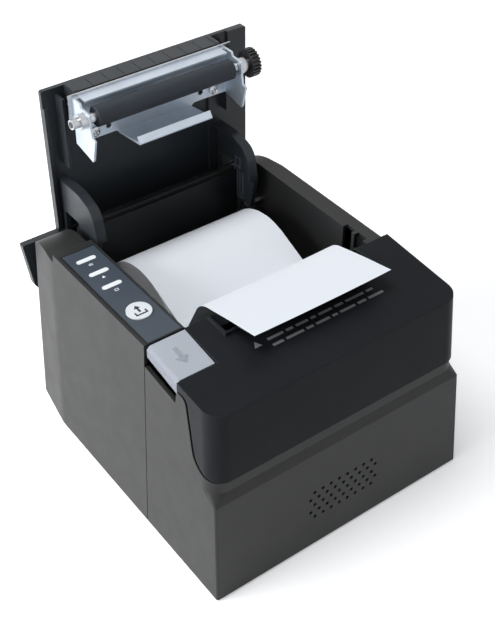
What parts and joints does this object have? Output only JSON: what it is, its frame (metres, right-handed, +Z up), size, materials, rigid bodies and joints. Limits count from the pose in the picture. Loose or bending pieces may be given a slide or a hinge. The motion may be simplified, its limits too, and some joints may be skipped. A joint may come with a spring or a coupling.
{
  "type": "receipt printer",
  "caption": "Desktop receipt printer with its lid open: paper bin with a loose roll, platen on the lid, print head, cutter under a sliding cover, push lever, feed button and rear sockets.",
  "frame": {"origin": "on the table under the middle of the printer's outer box with the lid open", "axes": "+X to the printer's right seen from the front, +Y to the back, +Z up"},
  "size_m": [0.154, 0.184, 0.1809],
  "materials": {
    "black_shell": "fine spark texture",
    "grey_key": "satin",
    "overlay_film": "smooth film",
    "white_diffuser": "milky",
    "pale_button": "satin",
    "black_parts": "moulded",
    "white_gears": "moulded",
    "zinc_sheet": "zinc plated",
    "steel": "ground",
    "heat_sink": "plain",
    "head_glaze": "glazed",
    "board_green": "lacquered",
    "roller_rubber": "ground",
    "foot_rubber": "plain",
    "thermal_paper": "smooth coated",
    "core_board": "moulded"
  },
  "bodies": {
    "base": {"main_housing": "black_shell", "rear_panel": "black_shell", "front_housing": "black_shell", "base_plate": "black_shell", "rubber_feet": "foot_rubber", "paper_tub": "black_shell", "lever_seat": "black_shell", "panel_overlay": "overlay_film", "led_bars": "white_diffuser", "panel_board": "board_green", "hinge_pins": "steel", "paper_strip": "thermal_paper", "chassis": "zinc_sheet", "thermal_head": "heat_sink", "head_ceramic": "head_glaze", "cutter_frame": "zinc_sheet", "cutter_motor": "steel", "feed_motor": "steel", "idler_stud": "steel", "main_board": "board_green", "power_inlet": "black_parts", "drawer_socket": "black_parts", "usb_socket": "zinc_sheet", "network_socket": "zinc_sheet", "switch_frame": "black_parts", "speaker": "black_parts"},
    "lid": {"lid_shell": "black_shell", "paper_lip": "black_shell", "platen_bracket": "zinc_sheet", "fixed_blade": "steel", "platen_bushings": "black_parts"},
    "platen": {"platen_roller": "roller_rubber", "platen_shaft": "steel", "platen_gear": "black_parts"},
    "cover": {"front_cover": "black_shell"},
    "lever": {"push_lever": "grey_key"},
    "latch": {"latch_bar": "zinc_sheet"},
    "button": {"feed_button": "pale_button"},
    "roll": {"paper_roll": "thermal_paper", "paper_core": "core_board"},
    "blade": {"cutter_blade": "steel"},
    "wheel": {"cutter_gear": "white_gears"},
    "idler": {"idler_gear": "white_gears"},
    "pinion": {"motor_pinion": "white_gears"},
    "rocker": {"switch_rocker": "black_parts"}
  },
  "joints": [
    {"name": "lid_hinge", "type": "hinge", "parent": "base", "child": "lid", "pos_m": [0, 0.0638, 0.0868], "axis": [1, 0, 0], "range_deg": [0, 90], "deforming": ["paper_strip"]},
    {"name": "platen_spin", "type": "hinge", "parent": "lid", "child": "platen", "pos_m": [0, 0.0657, 0.1725], "axis": [1, 0, 0], "continuous": true},
    {"name": "cover_slide", "type": "slide", "parent": "base", "child": "cover", "axis": [0, -1, 0], "range_m": [0, 0.025]},
    {"name": "lever_press", "type": "hinge", "parent": "base", "child": "lever", "pos_m": [0, -0.0508, 0.10657], "axis": [-1, 0, 0], "range_deg": [0, 8], "stiffness_Nm_per_rad": 0.3},
    {"name": "latch_turn", "type": "hinge", "parent": "base", "child": "latch", "pos_m": [0, -0.0215, 0.064], "axis": [1, 0, 0], "range_deg": [0, 8]},
    {"name": "button_press", "type": "slide", "parent": "base", "child": "button", "axis": [0, 0, -1], "range_m": [0, 0.0008], "stiffness_N_per_m": 800},
    {"name": "roll_spin", "type": "hinge", "parent": "base", "child": "roll", "pos_m": [0, 0.0336, 0.0654], "axis": [1, 0, 0], "continuous": true},
    {"name": "gear_turn", "type": "hinge", "parent": "base", "child": "wheel", "pos_m": [0, -0.0625, 0.1018], "axis": [0, 0, 1], "range_deg": [0, 60]},
    {"name": "blade_slide", "type": "slide", "parent": "base", "child": "blade", "axis": [0, 1, 0], "range_m": [0, 0.0052]},
    {"name": "idler_spin", "type": "hinge", "parent": "base", "child": "idler", "pos_m": [0.0577, -0.03294, 0.07804], "axis": [1, 0, 0], "continuous": true},
    {"name": "pinion_spin", "type": "hinge", "parent": "base", "child": "pinion", "pos_m": [0.0577, -0.04338, 0.07201], "axis": [1, 0, 0], "continuous": true},
    {"name": "switch_rock", "type": "hinge", "parent": "base", "child": "rocker", "pos_m": [0.05, 0.083, 0.021], "axis": [1, 0, 0], "range_deg": [-9, 9]}
  ],
  "couplings": [
    {"joint": "latch_turn", "follows": "lever_press", "ratio": 1},
    {"joint": "gear_turn", "follows": "blade_slide", "rad_per_m": 201.36},
    {"joint": "pinion_spin", "follows": "idler_spin", "ratio": -2}
  ]
}
